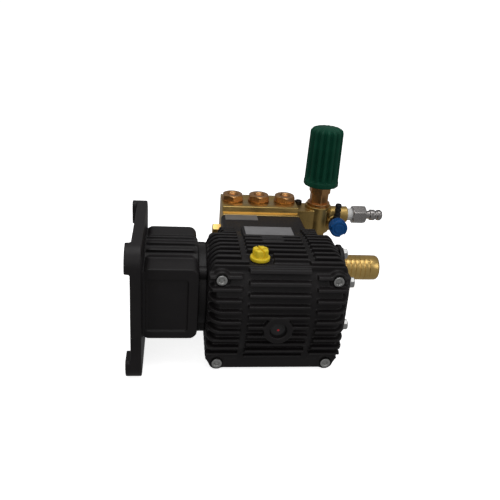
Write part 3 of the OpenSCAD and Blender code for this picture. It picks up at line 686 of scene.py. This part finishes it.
class PUMP_OT_screws(Step):
    """Socket screws, bolts and plugs"""
    bl_idname = "pump.screws"
    bl_label = "Screws"

    def make(self):
        edge = {"edge": 0.35, "segments": 48}
        case = middle("rear_cover").x
        bodies = [
            ((case + side * COVER_SCREW_X, y, z), "-Y", socket_head(5, 4, 4.8, 3, length),
             {**edge, "lean": side * 0.3})
            for side in (-1, 1) for y, z, length in COVER_SCREW_SEATS
        ] + [
            ((BELL_SCREW_X, y, z), "-X", socket_head(5, 6, 4.8, 3, 11), edge)
            for y in (-BELL_SCREW_YZ, BELL_SCREW_YZ) for z in (-BELL_SCREW_YZ, BELL_SCREW_YZ)
        ]
        name = "cover_and_flange_screws"
        placed(name, turned(name, bodies), zinc_steel(), "pump_body", "zinc_steel", "socket_screws")
        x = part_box("bearing_cover_bolts")[1].x / MM - 5.2
        bodies = [
            ((x, y, z), "X", hex_head(10, 5.2, 3, 10.5), {**edge, "lean": y * 0.1})
            for y, z in BEARING_BOLTS
        ]
        name = "bearing_cover_hex_bolts"
        placed(name, turned(name, bodies), zinc_steel(), "pump_body", "zinc_steel", "bearing_cover_bolts")
        name = "drain_plug_turned"
        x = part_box("drain_plug")[1].x / MM - 5
        bodies = [((x, *DRAIN_PLUG), "X", hex_head(12, 5, 5, 9), edge)]
        placed(name, turned(name, bodies), zinc_steel(), "pump_body", "zinc_steel", "drain_plug")
        name = "manifold_socket_screws"
        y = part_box("manifold_screws")[1].y / MM - 8
        bodies = [
            ((case + dx, y, z), "Y", socket_head(6.5, 8, 6.4, 4, 66), edge)
            for dx in (-HEAD_SCREW_X, HEAD_SCREW_X) for z in (-HEAD_SCREW_Z, HEAD_SCREW_Z)
        ]
        placed(name, turned(name, bodies), black_steel(), "pump_body", "black_steel", "manifold_screws")
        name = "unloader_socket_screws"
        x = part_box("unloader_screws")[0].x / MM + 4.2
        bodies = [
            ((x, y, z), axis, socket_head(4.2, 5, 4, 2.5, 9), edge)
            for axis, y, z in UNLOADER_SCREWS
        ]
        placed(name, turned(name, bodies), black_steel(), "pump_body", "black_steel", "unloader_screws")


class PUMP_OT_sight_glass(Step):
    """Domed oil window with its red mark"""
    bl_idname = "pump.sight_glass"
    bl_label = "Sight glass"

    def make(self):
        at = middle("sight_glass")
        low, high = (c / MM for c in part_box("sight_glass"))
        depth = high.y - low.y
        lens = [(-depth / 2, 0), (-depth / 2, 8.2), (depth / 2 - 0.9, 8.2), (depth / 2 - 0.25, 5.5),
                (depth / 2, 2.2), (depth / 2, 0)]
        piece = turned("sight_lens", [(at, "-Y", lens, {"edge": 0.4, "segments": 64})])
        placed("sight_lens", piece, sight_window(), "pump_body", "sight_window", "sight_glass")
        mark = Vector((at.x, low.y, at.z))
        dot = [(-0.4, 0), (-0.4, 1.15), (0.25, 1.15), (0.35, 0.6), (0.35, 0)]
        piece = turned("sight_mark", [(mark, "-Y", dot, {"edge": 0.1, "segments": 32})])
        placed("sight_mark", piece, red_dial(), "pump_body", "red_dial")
        paint(red_dial(), "sight_glass_dial")


class PUMP_OT_ports(Step):
    """Hose barb, coupler plug, tape and port plugs"""
    bl_idname = "pump.ports"
    bl_label = "Ports and fittings"

    def make(self):
        edge = {"edge": sizes().turned_edge / MM}
        low, high = (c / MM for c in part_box("inlet_barb"))
        at = (0, (low.y + high.y) / 2, (low.z + high.z) / 2)
        block, end = low.x + 10, high.x
        hexagon = hexed(15)
        outline = [(block - 10, 6), (block - 10, 8), (block, 8), (block, 15.4),
                   (block + 1.6, 17.3, hexagon), (block + 12.4, 17.3, hexagon),
                   (block + 14, 15, hexagon), (block + 14, 14.4), (block + 15.2, 14.4)]
        for i in range(8):
            x = end - 18.6 - (7 - i) * 6
            if x > block + 15:
                outline += [(x, 15.15), (x + 0.25, 15.7), (x + 5.2, 15.7), (x + 5.4, 15.15)]
        outline += [(end - 12.6, 15.1), (end - 12.0, 15.75), (end - 3, 15.5), (end - 1.0, 14.6), (end, 13.6),
                    (end, 11.2), (end - 0.6, 11), (block + 15, 11), (block + 15, 6)]
        mesh = turned("hose_barb", [(at, "X", outline, {"edge": 0.18, "segments": 144})], 60.0)
        placed("hose_barb", mesh, turned_brass(), "pump_body", "brass", "inlet_barb")
        low, high = (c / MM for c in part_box("outlet_nipple"))
        at = (0, (low.y + high.y) / 2, (low.z + high.z) / 2)
        arm = low.x + 9
        hexagon = hexed(9.75)
        outline = [(arm - 9, 3), (arm - 9, 6.5), (arm + 7, 6.5), (arm + 7, 9.6),
                   (arm + 8.1, 11.2, hexagon), (arm + 22.2, 11.2, hexagon), (arm + 23.5, 9.3, hexagon),
                   (arm + 23.5, 5.0), (arm + 28.8, 5.0), (arm + 29.6, 6.6), (arm + 35.0, 6.6),
                   (arm + 35.8, 5.4), (arm + 38.1, 5.4), (arm + 39.0, 6.6), (arm + 42.4, 6.6),
                   (arm + 43.4, 5.6), (arm + 44.5, 5.0), (arm + 44.5, 3)]
        mesh = turned("coupler_plug", [(at, "X", outline, edge)])
        placed("coupler_plug", mesh, stainless(), "pump_body", "stainless", "outlet_nipple")
        low, high = (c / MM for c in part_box("thread_tape"))
        outline = [(low.x, 6.5)]
        steps = 9
        for i in range(steps + 1):
            outline.append((low.x + (high.x - low.x) * i / steps, 7.35 - 0.22 * (i % 2)))
        outline.append((high.x, 6.5))
        mesh = turned("tape_wraps", [(at, "X", outline, {"edge": 0.15})])
        placed("tape_wraps", mesh, tape(), "pump_body", "tape", "thread_tape")
        low, high = (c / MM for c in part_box("port_plugs"))
        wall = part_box("manifold")[0].x / MM
        y = (low.y + high.y) / 2
        bodies = []
        for z, bore, af, length in ((7, 4.5, 14, 9), (-39.6, 8, 19, 6)):
            hexagon, corner = hexed(af / 2), af / 2 / math.cos(TURN / 12)
            bodies.append(((wall, y, z), "-X", [
                (-2.8, 0), (-2.8, bore), (0, bore), (0, corner, hexagon), (length - 1, corner, hexagon),
                (length, af / 2 - 0.2, hexagon), (length, 0)], edge))
        placed("port_hex_plugs", turned("port_hex_plugs", bodies), turned_brass(), "pump_body", "brass",
               "port_plugs")


class PUMP_OT_unloader(Step):
    """Unloader body, its hex stem and the ribbed pressure knob"""
    bl_idname = "pump.unloader"
    bl_label = "Unloader"

    def make(self):
        s = sizes()
        edge = {"edge": s.turned_edge / MM}
        grid = s.forging_grid * 1.0
        mesh = softened("unloader_body", "unloader_casting", grid, 2, 0.6)
        placed("unloader_casting", mesh, cast_brass(), "pump_body", "brass", "unloader_body")
        low, high = (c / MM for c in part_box("unloader_stem"))
        at = ((low.x + high.x) / 2, (low.y + high.y) / 2, 44)
        small, large = hexed(10), hexed(11.5)
        outline = [(-4, 7), (-4, 9), (0, 9), (0, 13.5), (3.5, 13.5), (3.5, 11.3, small), (15.0, 11.3, small),
                   (16.2, 13.0, large), (24.4, 13.0, large), (25.5, 11.2, large), (25.5, 9), (56, 9), (56, 7)]
        placed("stem_turned", turned("stem_turned", [(at, "Z", outline, {**edge, "lean": 0.25})]), bronze(),
               "pump_body", "bronze", "unloader_stem")
        self.knob(s)

    def knob(self, s):
        low, high = (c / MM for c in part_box("unloader_knob"))
        foot, tall = (high.x - low.x) / 2, high.z - low.z
        at = ((low.x + high.x) / 2, (low.y + high.y) / 2, low.z)

        def flutes(depth):
            def at_angle(angle, radius):
                wave = 0.5 + 0.5 * math.cos(angle * s.knob_ribs)
                return radius - depth * (1 - wave) ** 1.6
            return at_angle

        rim = flutes(0.5)
        outline = [(0, 16.4), (0, foot - 0.5, rim), (1.0, foot, rim), (5.6, foot - 0.1, rim),
                   (6.6, foot - 0.7, flutes(1.6))]
        steps = 12
        for i in range(steps + 1):
            t = i / steps
            outline.append((8 + (tall - 14) * t, foot - 0.6 - 0.9 * t, flutes(3.4)))
        outline += [(tall - 4.4, foot - 2.0, flutes(3.4)), (tall - 2.8, foot - 3.6, flutes(3.3)),
                    (tall - 1.7, foot - 5.8, flutes(2.5)), (tall - 1.0, foot - 8.5, flutes(1.9)),
                    (tall - 0.5, foot - 11.5, flutes(0.9)), (tall - 0.2, foot - 13.5), (tall, foot - 15.0),
                    (tall, 2.4), (tall - 0.4, 2.0), (tall - 0.4, 0),
                    (36.7, 0), (36.7, 9.05), (4.5, 9.05), (4.5, 16.4)]
        mesh = turned("pressure_knob_grip", [(at, "Z", outline, {"edge": 0.7, "segments": 360})], 50.0)
        placed("pressure_knob_grip", mesh, green_plastic(), "knob", "green_plastic", "unloader_knob")


class PUMP_OT_injector(Step):
    """Dosing knob, its black housing and the detergent barb"""
    bl_idname = "pump.injector"
    bl_label = "Detergent injector"

    def make(self):
        s = sizes()
        low, high = (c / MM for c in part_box("injector_knob"))
        radius = (high.x - low.x) / 2
        at = ((low.x + high.x) / 2, low.y, (low.z + high.z) / 2)

        def rim(angle, r):
            wave = math.cos(angle * s.dial_ribs)
            notch = 0.0
            for k in range(3):
                apart = abs((angle - k * TURN / 3 - 0.5 + math.pi) % TURN - math.pi)
                if apart < 0.24:
                    notch = 1.9
            return min(r, radius - 0.25 + 0.22 * wave) if not notch else min(r, radius - notch)

        def ribbed(angle, r):
            return r - 0.25 + 0.22 * math.cos(angle * s.dial_ribs)

        outline = [(0.5, 0), (0.5, 3.0), (0.25, 3.4), (0.25, 5.6), (0.6, 6.0), (0.6, 6.5), (0.25, 6.9),
                   (0, radius - 2.2),
                   (0.5, radius - 0.5, rim), (1.2, radius, rim), (4.6, radius, rim), (4.9, radius, ribbed),
                   (10.6, radius, ribbed), (11.2, radius - 0.6), (11.2, 7), (5, 7), (5, 0)]
        mesh = turned("dosing_knob_grip", [(at, "Y", outline, {"edge": 0.3, "segments": 320})], 45.0)
        placed("dosing_knob_grip", mesh, blue_plastic(), "dosing_knob", "blue_plastic", "injector_knob")
        low, high = (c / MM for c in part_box("injector_body"))
        centre = ((low.x + high.x) / 2, low.y, at[2])
        deep = high.y - low.y
        housing = [(0, 0), (0, 7.4), (0.8, 8), (5.4, 8), (7.4, 6.6), (7.4, 5), (deep, 5), (deep, 0)]
        barb = [(2, 0), (2, 4.2), (10, 4.2), (11, 3.3), (12, 3.3)]
        for z in (12, 17, 22):
            barb += [(z, 3.95), (z + 3.2, 3.35), (z + 3.5, 3.0)]
            if z < 22:
                barb += [(z + 5, 3.0)]
        barb += [(25.5, 2.9), (25.5, 1.8), (12, 1.8), (12, 0)]
        bodies = [
            (centre, "Y", housing, {"edge": 0.4, "segments": 64}),
            ((centre[0], low.y + 4.5, at[2]), "Z", barb, {"edge": 0.2, "segments": 48}),
        ]
        placed("injector_housing", turned("injector_housing", bodies), black_plastic(), "pump_body",
               "black_plastic", "injector_body")


class PUMP_OT_oil_cap(Step):
    """Yellow filler cap with its lobed grip"""
    bl_idname = "pump.oil_cap"
    bl_label = "Oil cap"

    def make(self):
        low, high = (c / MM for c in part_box("oil_cap"))
        at = ((low.x + high.x) / 2, (low.y + high.y) / 2, low.z + 7.5)
        tall = high.z - at[2]

        bm = bmesh.new()
        base = [(-7.5, 0), (-7.5, 6), (0.85, 6), (0.85, 9.3), (1.4, 9.5), (3.6, 9.5), (4.4, 8.9), (4.4, 7.0),
                (tall - 3.4, 6.6), (tall - 3.4, 0)]
        turned_into(bm, at, "Z", base, segments=128, edge=0.4)
        for quarter in range(4):
            self.quadrant(bm, at, 0.35 + quarter * TURN / 4, 4.3, tall)
        mesh = mesh_of(bm, "filler_cap_grip", 45.0)
        placed("filler_cap_grip", mesh, yellow_plastic(), "filler_cap", "yellow_plastic", "oil_cap")
        paint(rubber(), "oil_cap_ring")

    def quadrant(self, bm, at, lean, low, high):
        """One quarter of the split grip, rounded over at the top"""
        gap, radius, steps = 0.75, 7.6, 28
        start = math.asin(gap / radius)
        shape = [Vector((gap, gap))]
        for i in range(steps + 1):
            angle = start + (TURN / 4 - 2 * start) * i / steps
            r = radius - 0.7 * (0.5 - 0.5 * math.cos(angle * 8)) ** 2
            shape.append(Vector((r * math.cos(angle), r * math.sin(angle))))
        heart = Vector((radius * 0.45, radius * 0.45))
        levels = []
        for z, inset in ((low, 0.0), (high - 1.1, 0.0), (high - 0.35, 0.25), (high, 0.9)):
            ring = []
            for point in shape:
                away = point - heart
                spot = heart + away * (1 - inset / away.length)
                x = spot.x * math.cos(lean) - spot.y * math.sin(lean)
                y = spot.x * math.sin(lean) + spot.y * math.cos(lean)
                ring.append(bm.verts.new((Vector(at) + Vector((x, y, z))) * MM))
            levels.append(ring)
        count = len(shape)
        for one, two in zip(levels, levels[1:]):
            for k in range(count):
                bm.faces.new((one[k], one[(k + 1) % count], two[(k + 1) % count], two[k]))
        bm.faces.new(levels[-1])
        bm.faces.new(levels[0])


class PUMP_OT_labels(Step):
    """Blank foil label and grey plate"""
    bl_idname = "pump.labels"
    bl_label = "Labels"

    def make(self):
        paint(plate_foil(), "nameplates")


class PUMP_OT_inner_parts(Step):
    """Finishes of the crank train, valves, seals and springs"""
    bl_idname = "pump.inner_parts"
    bl_label = "Inner parts"

    def make(self):
        paint(forged_steel(), "crankshaft", *numbered("wrist_pin"), "unloader_piston", "spring_follower")
        paint(bearing_steel(), "bearing_outer_races", "bearing_inner_races")
        paint(brass(), "bearing_cages", "packing_glands")
        paint(rod_alloy(), *numbered("con_rod"), *numbered("plunger_guide"))
        paint(ceramic(), *numbered("plunger"))
        paint(rubber(), "rear_cover_seal", "shaft_oil_seal", "plunger_oil_seals", "cap_seals")
        paint(packing(), "plunger_packings")
        paint(stainless(), "valve_seats", *numbered("outlet_poppet"), *numbered("inlet_poppet"),
              "outlet_valve_springs", "inlet_valve_springs")
        paint(black_steel(), "unloader_spring")


def lamp(name, place, aim, energy, width, height):
    data = bpy.data.lights.new(name, "AREA")
    data.shape = "RECTANGLE"
    data.size = width
    data.size_y = height
    data.energy = energy
    lamp_object = bpy.data.objects.new(name, data)
    bpy.context.scene.collection.objects.link(lamp_object)
    lamp_object.location = place
    lamp_object.rotation_euler = (Vector(aim) - Vector(place)).to_track_quat("-Z", "Y").to_euler()


class PUMP_OT_studio(Step):
    """Pale floor, soft lamps and the camera"""
    bl_idname = "pump.studio"
    bl_label = "Studio"

    def make(self):
        scene = bpy.context.scene
        low = CAD_BOX[0]
        bm = bmesh.new()
        bmesh.ops.create_grid(bm, x_segments=56, y_segments=56, size=14.0)
        for vert in bm.verts:
            reach = max(0.0, vert.co.y - 4.0)
            vert.co.z = low[2] - 0.0002 + 0.09 * reach * reach
        mesh = bpy.data.meshes.new("studio_floor")
        bm.to_mesh(mesh)
        bm.free()
        mesh.materials.append(paper())
        floor = bpy.data.objects.new("studio_floor", mesh)
        scene.collection.objects.link(floor)
        floor.visible_diffuse = False
        floor.visible_glossy = False
        world = bpy.data.worlds.new("studio_air")
        world.use_nodes = True
        air = world.node_tree.nodes["Background"]
        air.inputs["Color"].default_value = (1.0, 1.0, 1.0, 1.0)
        air.inputs["Strength"].default_value = 0.24
        scene.world = world
        lamp("top_softbox", (0.10, -0.05, 1.10), (0.14, 0.0, 0.0), 6.0, 1.1, 0.9)
        lamp("front_softbox", (-0.35, -1.15, 0.65), (0.12, 0.0, 0.0), 2.6, 0.9, 0.7)
        lamp("side_softbox", (1.10, -0.55, 0.60), (0.15, 0.0, 0.0), 1.6, 0.6, 0.6)
        self.camera(scene)
        scene.view_settings.view_transform = "Standard"

    def camera(self, scene):
        pitch, yaw, roll = math.radians(24.88), math.radians(8.04), math.radians(-4.54)
        ahead = Vector((math.sin(yaw) * math.cos(pitch), math.cos(yaw) * math.cos(pitch), -math.sin(pitch)))
        right = Vector((math.cos(yaw), -math.sin(yaw), 0.0))
        down = ahead.cross(right)
        across = right * math.cos(roll) + down * math.sin(roll)
        below = down * math.cos(roll) - right * math.sin(roll)
        turn = Matrix((across, -below, -ahead)).transposed().to_4x4()
        data = bpy.data.cameras.new("product_camera")
        data.sensor_width = 36.0
        data.lens = 43.43
        data.clip_end = 60.0
        camera = bpy.data.objects.new("product_camera", data)
        camera.matrix_world = Matrix.Translation((0.042025, -0.539710, 0.293304)) @ turn
        scene.collection.objects.link(camera)
        scene.camera = camera


class PUMP_PT_panel(bpy.types.Panel):
    """Lists the pump's sizes, colours and steps"""
    bl_idname = "PUMP_PT_panel"
    bl_label = "Plunger pump"
    bl_space_type = "VIEW_3D"
    bl_region_type = "UI"
    bl_category = "Pump"

    def draw(self, context):
        for group in (context.scene.pump_sizes, context.scene.pump_colours):
            box = self.layout.box()
            for key in group.bl_rna.properties.keys():
                if key not in ("rna_type", "name"):
                    box.prop(group, key)
        for step in STEPS:
            self.layout.operator(step.bl_idname)


STEPS = (
    PUMP_OT_studio, PUMP_OT_castings, PUMP_OT_manifold, PUMP_OT_valve_caps,
    PUMP_OT_screws, PUMP_OT_sight_glass, PUMP_OT_ports, PUMP_OT_unloader,
    PUMP_OT_injector, PUMP_OT_oil_cap, PUMP_OT_labels, PUMP_OT_inner_parts,
)


def register():
    for cls in (PumpSizes, PumpColours, *STEPS, PUMP_PT_panel):
        bpy.utils.register_class(cls)
    bpy.types.Scene.pump_sizes = PointerProperty(type=PumpSizes)
    bpy.types.Scene.pump_colours = PointerProperty(type=PumpColours)


def unregister():
    del bpy.types.Scene.pump_colours
    del bpy.types.Scene.pump_sizes
    for cls in (PUMP_PT_panel, *reversed(STEPS), PumpColours, PumpSizes):
        bpy.utils.unregister_class(cls)


def main():
    register()
    for step in STEPS:
        group, action = step.bl_idname.split(".")
        getattr(getattr(bpy.ops, group), action)()


if __name__ == "__main__":
    main()
